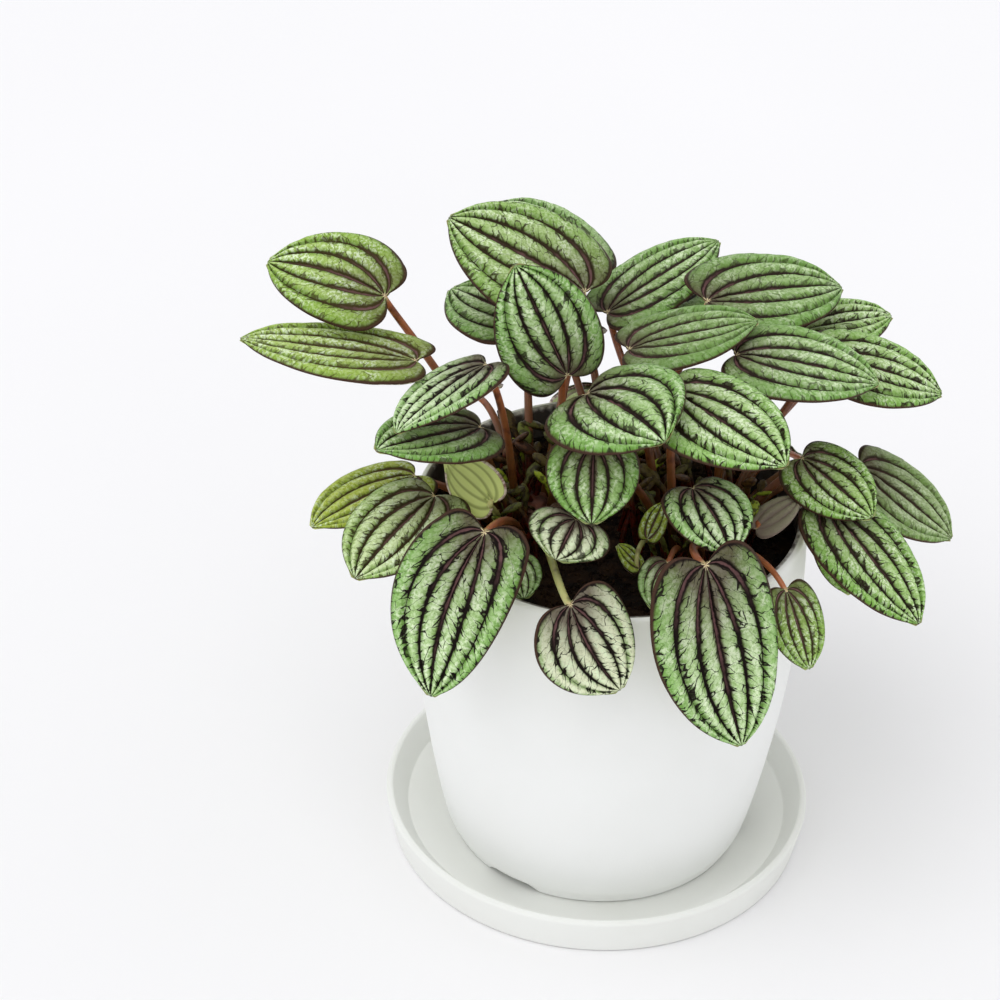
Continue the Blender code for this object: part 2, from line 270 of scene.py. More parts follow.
fine_wall = add_node(tree, "ShaderNodeTexVoronoi", {"Vector": place, "Scale": 0.75},
                     feature="DISTANCE_TO_EDGE").outputs["Distance"]
mesh_gap = smooth_step(tree, fine_wall, 0.0, 0.11)
netting = formula(tree, "(1 - g) * (1 - m) * (0.28 - 0.4 * a)", a=away, g=dullness_and_shade, m=mesh_gap)

rim = smooth_step(tree, formula(tree, "absolute(v) + (w - 0.5) * 0.02", v=v, w=waver), 0.955, 0.985)
edge = smooth_step(tree, formula(tree, "absolute(v) + 0.25 * (c - 0.5)", v=v, c=cloud), 0.35, 1.0)
fresh = blend(tree, edge, "8EBE56", "6CAE2C")
silvered = formula(tree, "s * (1.25 - 0.7 * e) * (0.35 + 1.3 * f)", s=silver, e=edge, f=fleck)
silvered = formula(tree, "minimum(1, maximum(0, s * (0.2 + 1.6 * c) * (1.15 - 0.7 * d)))",
                   s=silvered, c=cloud, d=vein_side_green_and_shade)
metal = blend(tree, smooth_step(tree, silver, 0.8, 1.3), "D0E6B4", "E8EDC9")
flesh = blend(tree, silvered, fresh, metal)
flesh = blend(tree, formula(tree, "0.85 * y", y=youth), flesh, "B4BF3C")
# dull grey-green by age: partly the leaf's own dullness, partly painted shade on leaves that lie in shade
flesh = blend(tree, formula(tree, "0.60 * g", g=dullness_and_shade), flesh, "6A7C50")
# pale flecks: partly the leaf's own silver mottle, partly a painted highlight for the satin gloss
pale_fleck_and_highlight = formula(
    tree, "minimum(1, m * (0.22 + 0.9 * k) * (1 - 0.45 * e) * (1 - 0.7 * g))", e=edge, g=dullness_and_shade,
    k=smooth_step(tree, cloud, 0.40, 0.62), m=smooth_step(tree, fleck, 0.45, 0.60))
flesh = blend(tree, pale_fleck_and_highlight, flesh, "E6F6CE")
flesh = blend(tree, formula(tree, "0.40 * m", m=smooth_step(tree, fleck, 0.48, 0.28)), flesh, "55722B")
# painted shade, partly real green: darker mid-green down the slopes towards the veins
flesh = blend(tree, formula(tree, "d * (0.50 - 0.25 * minimum(1, s))", d=vein_side_green_and_shade, s=silver), flesh, "557A2A")

# purple-brown wash that spreads from the stalk and along the midrib
middle = smooth_step(tree, band, formula(tree, "0.10 + 1.1 * c * k * (1 - u)", c=cloud, k=stain, u=u), 0.05)
wash = formula(tree, "minimum(0.88, (1 - u) ** 3.2 * (0.85 + 0.9 * k) + 0.9 * m * k)",
               u=u, k=stain, m=middle)
flesh = blend(tree, formula(tree, "w * (1 - 0.7 * y)", w=wash, y=youth), flesh, "4B352F")
beside = formula(tree, "s * f * (0.60 - 0.30 * y)", s=shoulder, f=fading, y=youth)
flesh = blend(tree, beside, flesh, "3A2C20")
dark = blend(tree, formula(tree, "minimum(1, 2 * y)", y=youth), "150B08", "453A1A")
dark = blend(tree, formula(tree, "0.8 * g", g=dullness_and_shade), dark, "3A2C22")
flesh = blend(tree, formula(tree, "minimum(1, n + l * 0.95)", n=netting, l=veinlet), flesh, dark)
wide = smooth_step(tree, half, 0.08, 0.15)
core = blend(tree, formula(tree, "w * m", w=wide, m=smooth_step(tree, away, 0.090, 0.020)), dark, "70504F")
flesh = blend(tree, groove, flesh, core)
flesh = blend(tree, rim, flesh, "4A3428")
withered = smooth_step(tree, silver, 0.0, -1.0)
flesh = blend(tree, formula(tree, "0.8 * w", w=withered), flesh, "8E8074")
star = smooth_step(tree, formula(tree, "u * (1 + 1.6 * g)", u=u, g=groove), 0.035, 0.018)
flesh = blend(tree, star, flesh, "E2D0A4")
tree.links.new(flesh, shader.inputs["Base Color"])

relief = formula(tree, "f * 0.35 - l * 0.6 - n * 0.5 - g * 0.4", f=fleck, l=veinlet, n=netting, g=groove)
roughen(tree, shader, relief, 0.8, 0.25)
gloss = formula(tree, "0.36 + 0.20 * f + 0.25 * maximum(l, g)", f=fleck, l=veinlet, g=groove)
tree.links.new(gloss, shader.inputs["Roughness"])
print("leaf skin:", len(tree.nodes), "nodes")

# %% [markdown]
# The underside has no silver. It is a plain yellow-green with the veins showing through in a
# reddish brown, and it is duller. The cut edge of the blade is a thin pinkish line.
# The stalks are smooth and juicy: red-brown where they leave the soil, paler near the blade.

# %% Underside, blade edge and stalk
leaf_underside, tree, shader = new_material("leaf_underside", 0.55, Specular_IOR_Level=0.35)
u, band, _, _ = split(tree, "vein_map")
silver, youth, _, _ = split(tree, "tone")
place = split(tree, "size_map")[3]
away = formula(tree, "0.5 - absolute(fract(b) - 0.5)", b=band)
cloud = noise(tree, place, 0.5, 4.0)
flesh = blend(tree, cloud, "94A85C", "B9C584")
flesh = blend(tree, formula(tree, "0.8 * y", y=youth), flesh, "D3DD88")
vein = smooth_step(tree, away, formula(tree, "0.12 + 0.14 * (1 - u) ** 3", u=u), 0.02)
vein_colour = blend(tree, youth, "7A4C38", "66702A")
flesh = blend(tree, formula(tree, "v * (0.80 - 0.2 * y)", v=vein, y=youth), flesh, vein_colour)
flesh = blend(tree, formula(tree, "0.85 * w", w=smooth_step(tree, silver, 0.0, -1.0)), flesh, "8A7B70")
tree.links.new(flesh, shader.inputs["Base Color"])
roughen(tree, shader, cloud, 0.4, 0.2)

leaf_edge, tree, shader = new_material("leaf_edge", 0.5)
place = split(tree, "size_map")[3]
cloud = noise(tree, place, 0.8)
flesh = blend(tree, smooth_step(tree, cloud, 0.35, 0.65), "7C5C50", "D8C8B6")
tree.links.new(flesh, shader.inputs["Base Color"])

stalk_flesh, tree, shader = new_material("juicy_leaf_stalk", 0.38, Subsurface_Weight=0.12,
                                         Subsurface_Scale=0.6 * MM)
along, ruddy, seed, _ = split(tree, "stalk_map")
place = object_place(tree)
streak = noise(tree, place, 260.0, 3.0)
hue = formula(tree, "fract(0.618 * n)", n=seed)
climb = smooth_step(tree, formula(tree, "t + (s - 0.5) * 0.35", t=along, s=streak), 0.10, 1.0)
ripe = blend(tree, hue, "8F2E1B", "B05228")
pale = blend(tree, ruddy, "C6CC86", ripe)
low = blend(tree, ruddy, "8E9A4A", blend(tree, hue, "50130A", "63290E"))
flesh = blend(tree, climb, low, pale)
flesh = blend(tree, smooth_step(tree, along, 0.93, 1.0), flesh, "CDB98A")
flesh = blend(tree, formula(tree, "0.6 * m", m=smooth_step(tree, streak, 0.50, 0.70)), flesh, "3E130A")
tree.links.new(flesh, shader.inputs["Base Color"])
roughen(tree, shader, streak, 0.35, 0.2)

# %% [markdown]
# ## The leaf's shape
# A leaf could be a flat card bent by hand, but all of these follow one rule of growth. A grid is
# laid out with u from the stalk to the tip and v from margin to margin, and every line of equal v
# is a Bezier curve that leaves the stalk, swings out by its v and comes back to the tip: those
# lines are the veins. The rule is the CAD's own, with the relief added: each band swells into a
# pillow, the veins stay sunken, and a slow ripple takes the stiffness out.
# The same tree gives the blade its thickness, sets it in its place and grows its stalk.

# %% The rule of the blade
LEAF_SKIN = 0.75              # mm, thickness of a blade
LEAF_FOLD = 0.12              # rise each side of the midrib
LEAF_CUP = 0.16               # roll-down of the margin
LEAF_LOBE = 0.40              # how far the lobes reach back, of the length

leaf_tree, sizes = new_tree(
    "grown_leaf", Length="Float", Width="Float", Droop="Float", Bow="Float", Bands="Float", Relief="Float",
    Ripple="Float", Seed="Float", Rows="Int", Columns="Int", Tone="Vector", Attach="Vector", Turn="Vector",
    Foot="Vector", Rise="Vector", Approach="Vector", Stalk_end="Vector", Stalk_radius="Float",
    Ruddy="Float")
grid = add_node(leaf_tree, "GeometryNodeMeshGrid",
                {"Size X": 1.0, "Size Y": 2.0, "Vertices X": sizes["Rows"], "Vertices Y": sizes["Columns"]})
spot = node_out(leaf_tree, "GeometryNodeInputPosition")
along, v, _ = add_node(leaf_tree, "ShaderNodeSeparateXYZ", {0: spot}).outputs
u = formula(leaf_tree, "a + 0.5", a=along)
side = formula(leaf_tree, "absolute(v) ** 1.5", v=v)
leave = formula(leaf_tree, "3 * (1 - u) ** 2 * u", u=u)
arrive = formula(leaf_tree, "3 * (1 - u) * u ** 2", u=u)
flat_x = formula(
    leaf_tree, "n * (p * (0.33 * (1 - s) - lobe * s) + q * (0.67 + 0.05 * s) + u ** 3)",
    n=sizes["Length"], p=leave, q=arrive, s=side, u=u, lobe=LEAF_LOBE)
flat_y = formula(leaf_tree, "w * v * (0.52 * p + 0.80 * q)", w=sizes["Width"], v=v, p=leave, q=arrive)
reach = formula(leaf_tree, "maximum(0, x / n)", x=flat_x, n=sizes["Length"])
across = formula(leaf_tree, "absolute(y) / (0.5 * w)", y=flat_y, w=sizes["Width"])
rise = formula(
    leaf_tree, "fold * absolute(y) - cup * 0.5 * w * a ** 2.5 + d * n * (r - r ** 2)", y=flat_y, a=across,
    w=sizes["Width"], d=sizes["Droop"], n=sizes["Length"], r=reach, fold=LEAF_FOLD, cup=LEAF_CUP)
sway = formula(leaf_tree, "b * n * 4 * r * (1 - r)", b=sizes["Bow"], n=sizes["Length"], r=reach)

# %% Pillows, veins and ripple
band = formula(leaf_tree, "absolute(v) * n", v=v, n=sizes["Bands"])
pillow = formula(leaf_tree, "1 - absolute(2 * fract(b) - 1) ** 2.6", b=band)
ends = formula(leaf_tree, "minimum(1, minimum(7 * u, 9 * (1 - u)))", u=u)
size_map = node_out(leaf_tree, "ShaderNodeCombineXYZ",
                    {0: flat_x, 1: flat_y, 2: formula(leaf_tree, "37 * s", s=sizes["Seed"])})
slow = noise(leaf_tree, size_map, 0.07, 1.0)
quilt = noise(leaf_tree, size_map, 0.36, 1.0)
swollen = formula(leaf_tree, "h * (p * (0.72 + 0.56 * q) - 0.5)", h=sizes["Relief"], p=pillow, q=quilt)
rippled = formula(leaf_tree, "r * (0.35 + 0.65 * absolute(v) ** 2) * (s - 0.5) * 2",
                  r=sizes["Ripple"], v=v, s=slow)
lift = formula(leaf_tree, "e * (h + r)", e=ends, h=swollen, r=rippled)
shape = node_out(leaf_tree, "ShaderNodeCombineXYZ", {
    0: formula(leaf_tree, "x * mm", x=flat_x, mm=MM),
    1: formula(leaf_tree, "(y + s) * mm", y=flat_y, s=sway, mm=MM),
    2: formula(leaf_tree, "(r + h) * mm", r=rise, h=lift, mm=MM)})

# %% From the grid to a solid blade in its place
WELD = 0.005                  # mm, corners nearer than this are one corner
vein_map = node_out(leaf_tree, "ShaderNodeCombineXYZ", {0: u, 1: band, 2: v})
blade = grid.outputs["Mesh"]
for title, field in (("vein_map", vein_map), ("size_map", size_map), ("tone", sizes["Tone"])):
    blade = store(leaf_tree, blade, title, field, "FLOAT_VECTOR", "CORNER")
blade = node_out(leaf_tree, "GeometryNodeSetPosition", {"Geometry": blade, "Position": shape})
blade = node_out(leaf_tree, "GeometryNodeMergeByDistance",
                 {"Geometry": blade, "Distance": WELD * MM})
shell = add_node(leaf_tree, "GeometryNodeExtrudeMesh",
                 {"Mesh": blade, "Offset Scale": -LEAF_SKIN * MM, "Individual": False}, mode="FACES")
parts = []
for number, (mesh, chosen) in enumerate(
        ((blade, None), (shell.outputs["Mesh"], shell.outputs["Top"]), (None, shell.outputs["Side"]))):
    selection = {"Selection": chosen} if chosen else {}
    parts.append(store(leaf_tree, mesh or parts.pop(), "finish", float(number), domain="FACE", **selection))
under = node_out(leaf_tree, "GeometryNodeFlipFaces", {"Mesh": parts[1]})
closed = node_out(leaf_tree, "GeometryNodeMergeByDistance",
                  {"Geometry": joined(leaf_tree, parts[0], under), "Distance": WELD * MM})
turn = node_out(leaf_tree, "FunctionNodeEulerToRotation", {0: sizes["Turn"]})
placed = node_out(leaf_tree, "GeometryNodeTransform",
                  {"Geometry": closed, "Translation": sizes["Attach"], "Rotation": turn})

# %% The stalk, a tube along one Bezier curve
STALK_SIDES = 14
STALK_STEPS = 28
path = node_out(leaf_tree, "GeometryNodeCurvePrimitiveBezierSegment", {
    "Resolution": STALK_STEPS, "Start": sizes["Foot"], "Start Handle": sizes["Rise"],
    "End Handle": sizes["Approach"], "End": sizes["Stalk end"]})
climbed = add_node(leaf_tree, "GeometryNodeSplineParameter").outputs["Factor"]
stalk_map = node_out(leaf_tree, "ShaderNodeCombineXYZ",
                     {0: climbed, 1: sizes["Ruddy"], 2: sizes["Seed"]})
path = store(leaf_tree, path, "stalk_map", stalk_map, "FLOAT_VECTOR")
round_section = node_out(leaf_tree, "GeometryNodeCurvePrimitiveCircle",
                         {"Resolution": STALK_SIDES, "Radius": sizes["Stalk radius"]})
taper = formula(leaf_tree, "1.15 - 0.40 * t + 0.5 * (1 - t) ** 8 + 0.45 * t ** 14", t=climbed)
stalk = node_out(leaf_tree, "GeometryNodeCurveToMesh", {
    "Curve": path, "Profile Curve": round_section, "Scale": taper, "Fill Caps": True})
stalk = store(leaf_tree, stalk, "finish", 3.0, domain="FACE")

# %% Join, realize and give each face its material
whole = joined(leaf_tree, stalk, placed)
whole = node_out(leaf_tree, "GeometryNodeSetShadeSmooth", {"Geometry": whole})
whole = node_out(leaf_tree, "GeometryNodeRealizeInstances", {"Geometry": whole})
finish = node_out(leaf_tree, "GeometryNodeInputNamedAttribute", {"Name": "finish"},
                  data_type="FLOAT")
for number, material in enumerate((leaf_skin, leaf_underside, leaf_edge, stalk_flesh)):
    chosen = formula(leaf_tree, "compare(f, n, 0.1)", f=finish, n=float(number))
    whole = node_out(leaf_tree, "GeometryNodeSetMaterial",
                     {"Geometry": whole, "Selection": chosen, "Material": material})
add_node(leaf_tree, "NodeGroupOutput", {0: whole})
print("leaf tree:", len(leaf_tree.nodes), "nodes")

# %% [markdown]
# ## Where each leaf stands
# The rows repeat the CAD's: which of the three plants the leaf belongs to, where its stalk meets
# the blade and where its tip is, in millimetres, its width, and how it is turned and bent.

# %% The leaves
SOIL_TOP = 103.0
SOIL_MOUND = 2.5
POT_TOP = 113.0
CROWN_RADIUS = 7.0
CROWNS = [(-22.0, 4.0), (22.0, -2.0), (2.0, 24.0)]
LOW_LEAF = 110.0              # the foot of a low leaf's stalk stands furthest from its crown
HIGH_LEAF = 165.0
STALK_SPREAD = 8.0
STALK_GAP = 0.8               # from the soil to the foot of a stalk
STALK_CLEAR = 1.6             # from the crown to the nearest stalk
STALK_OVER_RIM = 6.0          # how far above the rim the bend of a stalk stays
STALK_OVER_BEND = 2.0         # how far above its bend a stalk turns towards the blade
STALK_TUCK = (0.6, 0.45)      # its end runs this far under the blade, and this far below it
STALK_RADIUS = 0.80

# crown, attachment, tip, width, bank in degrees, droop, bow, swing of the stalk's foot in degrees
LEAVES = [
    (0, (-64, 9, 173), (-97, 24, 174), 30, -25, 0.10, -0.06, -12),
    (0, (-55, -6, 162), (-103, 3, 162), 28, 0, 0.05, 0.00, 0),
    (0, (-36, -12, 165), (-59, -33, 156), 26, 15, 0.20, 0.00, 12),
    (0, (-37, -15, 147), (-64, -37, 153), 27, -5, 0.10, 0.00, -12),
    (0, (-55, -5, 124), (-82, -27, 121), 25, 0, 0.15, 0.00, 0),
    (0, (-49, -22, 129), (-69, -49, 120), 32, 0, 0.20, 0.00, -4),
    (0, (-35, -50, 137), (-48, -68, 96), 32, -20, 0.15, -0.07, 0),
    (0, (-9, 35, 161), (-48, 50, 175), 38, -20, 0.15, 0.00, 0),
    (2, (-9, 62, 150), (-35, 87, 160), 37, 0, 0.15, 0.00, 0),
    (0, (-25, 40, 147), (-47, 55, 149), 34, 0, 0.15, 0.00, 0),
    (0, (-14, -5, 158), (-29, -2, 190), 29, -60, 0.10, 0.00, 8),
    (0, (-9, -22, 163), (11, -43, 162), 40, 12, 0.25, 0.05, 0),
    (1, (-2, 46, 148), (30, 68, 160), 28, 0, 0.10, 0.00, 0),
    (1, (3, 8, 159), (38, 13, 166), 30, 0, 0.10, 0.00, 0),
    (2, (25, 30, 162), (64, 45, 159), 35, 10, 0.20, 0.00, 0),
    (1, (32, 5, 160), (71, 0, 155), 31, 10, 0.20, 0.00, 6),
    (1, (53, 40, 147), (79, 45, 150), 28, 0, 0.10, 0.00, 0),
    (1, (57, 15, 154), (91, 15, 143), 30, 10, 0.20, 0.00, -8),
    (1, (14, -15, 160), (43, -42, 155), 33, 10, 0.15, 0.00, 0),
    (1, (-7, -32, 154), (-7, -45, 137), 25, 0, 0.15, 0.00, 0),
    (0, (-11, -40, 135), (-16, -49, 128), 23, -15, 0.15, 0.00, 8),
    (0, (-12, -62, 123), (2, -68, 100), 28, 40, 0.15, -0.06, 0),
    (1, (23, -55, 132), (35, -70, 84), 36, 15, 0.15, -0.03, 10),
    (1, (46, -43, 116), (53, -54, 98), 18, 0, 0.15, 0.00, 0),
    (1, (20, -31, 140), (30, -47, 130), 25, 0, 0.20, 0.05, 0),
    (1, (52, 0, 130), (71, -15, 121), 26, 8, 0.15, 0.00, 0),
    (1, (72, 25, 111), (99, 15, 94), 33, 0, 0.15, 0.00, 0),
    (1, (59, -10, 121), (84, -35, 100), 30, 0, 0.15, 0.00, 0),
    (1, (64, 10, 103), (70, 0, 84), 19, 0, 0.15, 0.00, 0),
    # Back of the mound
    (2, (-14, 58, 134), (-20, 84, 112), 30, 0, 0.15, 0.00, 0),
    (2, (12, 62, 138), (22, 90, 118), 28, 0, 0.15, 0.00, 10),
    (2, (40, 56, 132), (60, 78, 110), 28, 0, 0.15, 0.00, -4),
    (0, (-40, 48, 118), (-56, 70, 92), 27, 0, 0.15, 0.00, 0),
    (1, (60, 48, 130), (84, 66, 120), 28, 0, 0.15, 0.00, 8),
    (2, (12, 50, 148), (20, 84, 142), 30, 0, 0.15, 0.00, 0),
    (2, (-2, 54, 118), (-6, 76, 92), 28, 0, 0.15, 0.00, 0),
    (2, (30, 52, 116), (40, 74, 88), 28, 0, 0.15, 0.00, 8),
    (1, (55, 28, 112), (74, 42, 84), 24, 0, 0.15, 0.00, -4),
    # Young leaves and small ones deep in the mound
    (0, (-27, -36, 119), (-24, -45, 112), 14, 0, 0.15, 0.00, 0),
    (1, (14, -40, 122), (11, -50, 113), 14, 0, 0.15, 0.00, 0),
    (0, (-33, -26, 130), (-46, -18, 138), 16, 110, 0.15, 0.00, -14),
    (1, (9, -28, 121), (13, -22, 129), 8, 0, 0.15, 0.00, 0),
    (1, (7, -32, 114), (1, -28, 119), 8, 0, 0.15, 0.00, -12),
    (0, (-46, 20, 124), (-64, 32, 118), 21, 0, 0.15, 0.00, 0),
    (1, (39, -19, 119), (51, -12, 125), 12, 0, 0.15, 0.00, 16),
]

# How each leaf differs from the usual finish: silver, youth (yellow-green) and age (dull), from
# 0 to 1. Age is partly painted shade, set higher on leaves that lie in shade. Silver above 0.8 also
# turns whiter, and below 0 it means a withered leaf.
USUAL_TONE = (0.40, 0.05, 0.25)
TONES = {
    1: (0.22, 0.42, 0.05), 2: (0.40, 0.55, 0.00), 3: (0.75, 0.00, 0.10), 4: (0.25, 0.00, 0.50),
    5: (0.40, 0.95, 0.00), 6: (0.90, 0.28, 0.00), 7: (0.50, 0.00, 0.00), 8: (0.45, 0.22, 0.25),
    9: (0.60, 0.00, 0.40), 10: (0.50, 0.00, 0.45), 11: (0.40, 0.00, 0.20), 12: (0.35, 0.00, 0.30),
    13: (0.35, 0.00, 0.50), 14: (0.25, 0.00, 0.90), 15: (0.30, 0.00, 0.65), 16: (0.40, 0.00, 0.50),
    17: (0.40, 0.10, 0.20), 18: (0.40, 0.10, 0.15), 19: (0.45, 0.08, 0.00), 20: (0.25, 0.00, 0.45),
    21: (1.20, 0.00, 0.30), 22: (1.40, 0.00, 0.00), 23: (0.60, 0.00, 0.00), 24: (0.15, 0.30, 0.35),
    25: (0.60, 0.00, 0.00), 26: (0.30, 0.15, 0.05), 27: (0.70, 0.15, 0.80), 28: (0.30, 0.08, 0.10),
    29: (0.10, 0.20, 0.60), 39: (0.60, 0.00, 0.55), 40: (0.60, 0.00, 0.65), 41: (0.00, 1.00, 0.00),
    42: (0.00, 0.90, 0.00), 43: (0.00, 0.90, 0.00), 44: (0.30, 0.20, 0.30), 45: (-1.0, 0.00, 1.00),
}
PALE_STALKS = {2, 21, 22, 41, 42, 43}


# %% How a stalk runs, as in the CAD
def blade_axes(attach, tip, bank):
    """Unit axes of a blade: along its midrib, across it, and out of its upper face."""
    forward = (tip - attach).normalized()
    up = (Vector((0, 0, 1)) - forward.z * forward).normalized()
    across = up.cross(forward)
    cosine, sine = math.cos(math.radians(bank)), math.sin(math.radians(bank))
    return forward, across * cosine + up * sine, up * cosine - across * sine


def stalk_bezier(crown, swing, attach, axes, length):
    """The four control points of a stalk from its crown to the notch of its blade."""
    forward, _, up = axes
    ground = Vector((attach.x - crown.x, attach.y - crown.y, 0))
    lowness = 1 - min(1, max(0, (attach.z - LOW_LEAF) / (HIGH_LEAF - LOW_LEAF)))
    foot = Matrix.Rotation(math.radians(swing), 3, "Z") @ ground.normalized()
    foot = crown + foot * (CROWN_RADIUS + STALK_CLEAR + STALK_SPREAD * lowness)
    foot.z = SOIL_TOP + SOIL_MOUND + STALK_GAP
    end = attach + STALK_TUCK[0] * forward - STALK_TUCK[1] * up
    rise = foot + 0.15 * ground
    rise.z = max(foot.z + 0.45 * (attach.z - foot.z), POT_TOP + STALK_OVER_RIM)
    approach = end - 0.30 * length * up - 0.06 * length * forward
    approach.z = max(approach.z, POT_TOP + STALK_OVER_RIM + STALK_OVER_BEND)
    return foot, rise, approach, end


# %% Grow them
QUAD = 0.62                   # mm, the side of one grid cell on a blade
PILLOW_HEIGHT = 0.042         # of the width
RIPPLE_HEIGHT = 0.022         # of the width
leaves = []
for number, row in enumerate(LEAVES, start=1):
    crown, attach, tip, width, bank, droop, bow, swing = row
    attach, tip = Vector(attach), Vector(tip)
    length = (tip - attach).length
    axes = blade_axes(attach, tip, bank)
    foot, rise, approach, end = stalk_bezier(Vector((*CROWNS[crown], 0)), swing, attach, axes, length)
    turn = Matrix(axes).transposed().to_euler()
    bands = 3 if width > 12 else 2
    cells = max(5, round(width / (2 * bands * QUAD) * 1.1))
    leaf = grown(f"peperomia_leaf_{number:02d}", leaf_tree, {
        "Length": length, "Width": float(width), "Droop": droop, "Bow": bow, "Bands": float(bands),
        "Relief": PILLOW_HEIGHT * width, "Ripple": RIPPLE_HEIGHT * width, "Seed": float(number),
        "Rows": max(20, round(length / QUAD)) + 1, "Columns": 2 * bands * cells + 1,
        "Tone": TONES.get(number, USUAL_TONE), "Attach": attach * MM, "Turn": tuple(turn),
        "Foot": foot * MM, "Rise": rise * MM, "Approach": approach * MM, "Stalk end": end * MM,
        "Stalk radius": STALK_RADIUS * MM * min(1, 0.5 + width / 60),
        "Ruddy": 0.15 if number in PALE_STALKS else 0.9})
    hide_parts(f"leaf_{number:02d}")
    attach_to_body(leaf, "root")
    leaves.append(leaf)
print(len(leaves), "leaves,", sum(map(triangles, leaves)), "triangles")

# %% [markdown]
# ## Pot and saucer
# Both are moulded in one piece from matte polypropylene. A turned shape is a half outline spun
# round the axis. What makes it look real is its edges: each corner of the outline has its own
# small radius, which catches a thin line of light. The wall of the pot is one wall thickness
# everywhere, so its inside is worked out from its outside.

# %% Moulded plastic
INSIDE_SHADE_RADIUS = 53.6          # mm, inside this the pot's wall gets painted shade
INSIDE_SHADE_TOP = 114.0            # mm, about where the dark painted shade ends
INSIDE_SHADE_DEPTH = 20.0           # mm below that where the painted shade starts
SHADE_EDGE_WANDER = (10.0, 12.0)         # mm, how far the painted shade's upper edge wanders, finely and broadly


def moulded(name, colour, shade, roughness, shaded_inside=False):
    """Matte moulded polypropylene with a fine spark-eroded grain, drawn about three times too coarse, and
    if asked, painted shade on the inside of the pot's wall.
    """
    material, tree, shader = new_material(name, roughness, Specular_IOR_Level=0.35)
    place = object_place(tree)
    grain = noise(tree, place, 1800.0)
    cloud = noise(tree, place, 22.0, 3.0)
    stain = formula(tree, "0.55 * c + 0.12 * g", c=smooth_step(tree, cloud, 0.35, 0.75), g=grain)
    paint = blend(tree, stain, colour, shade)
    if shaded_inside:
        x, y, z = add_node(tree, "ShaderNodeSeparateXYZ", {0: place}).outputs
        distance = formula(tree, "sqrt(x * x + y * y)", x=x, y=y)
        inner = smooth_step(tree, distance, (INSIDE_SHADE_RADIUS + 0.3) * MM, (INSIDE_SHADE_RADIUS - 0.3) * MM)
        bottom = INSIDE_SHADE_TOP - INSIDE_SHADE_DEPTH
        inside_shade = formula(tree, "w * h", w=inner, h=smooth_step(tree, z, bottom * MM, (bottom + 6) * MM))
        speck = noise(tree, place, 420.0, 4.0)
        height = formula(tree, "z + (s - 0.5) * p + (c - 0.5) * q", z=z, s=speck, c=cloud,
                         p=SHADE_EDGE_WANDER[0] * MM, q=SHADE_EDGE_WANDER[1] * MM)
        low = smooth_step(tree, height, (INSIDE_SHADE_TOP + 3) * MM, (INSIDE_SHADE_TOP - 2) * MM)
        # painted shade: the inside of the wall is tinted beige-grey and, below a ragged edge like compost
        # marks, painted near black for the dark inside of the pot
        paint = blend(tree, formula(tree, "0.30 * w", w=inside_shade), paint, "B9AE9C")
        paint = blend(tree, formula(tree, "0.90 * w * l", w=inside_shade, l=low), paint, "2C1E14")
    tree.links.new(paint, shader.inputs["Base Color"])
    roughen(tree, shader, grain, 0.25, 0.12)
    tree.links.new(formula(tree, "r + 0.12 * (g - 0.5)", r=roughness, g=grain), shader.inputs["Roughness"])
    return material


pot_plastic = moulded("matte_white_polypropylene", "F6F7F5", "F0F1EE", 0.60, shaded_inside=True)
saucer_plastic = moulded("matte_warm_white_polypropylene", "F0F1ED", "E7E8E2", 0.62)


# %% Turn an outline
TURN_STEPS = 192


def filleted(corners, arc_steps=4):
    """Replace each corner (radius, height, fillet) of a closed outline by an arc of its fillet."""
    outline = []
    for index, (x, z, fillet) in enumerate(corners):
        here = Vector((x, z))
        if not fillet:
            outline.append(here)
            continue
        before = (Vector(corners[index - 1][:2]) - here).normalized()
        after = (Vector(corners[(index + 1) % len(corners)][:2]) - here).normalized()
        half = 0.5 * before.angle(after)
        centre = here + (before + after).normalized() * fillet / math.sin(half)
        start = here + before * fillet / math.tan(half) - centre
        end = here + after * fillet / math.tan(half) - centre
        for step in range(arc_steps + 1):
            outline.append(centre + start.slerp(end, step / arc_steps))
    return outline


def turned(name, outline, raise_point=None):
    """Spin a closed outline of (radius, height) points, in millimetres, into a closed mesh."""
    bm = bmesh.new()
    rings = []
    for step in range(TURN_STEPS):
        angle = math.tau * step / TURN_STEPS
        ring = []
        for point in outline:
            lift = raise_point(point, angle) if raise_point else 0.0
            spot = Vector((point.x * math.cos(angle), point.x * math.sin(angle), point.y + lift))
            ring.append(bm.verts.new(spot * MM))
        rings.append(ring)
    for ring, following in zip(rings, rings[1:] + rings[:1]):
        for index in range(len(outline)):
            corner = (index + 1) % len(outline)
            if outline[index].x == 0 and outline[corner].x == 0:
                continue
            bm.faces.new((ring[index], ring[corner], following[corner], following[index]))
    bmesh.ops.remove_doubles(bm, verts=bm.verts, dist=0.002 * MM)
    bmesh.ops.recalc_face_normals(bm, faces=bm.faces)
    for face in bm.faces:
        face.smooth = True
    mesh = bpy.data.meshes.new(name)
    bm.to_mesh(mesh)
    bm.free()
    piece = bpy.data.objects.new(name, mesh)
    bpy.context.scene.collection.objects.link(piece)
    return piece


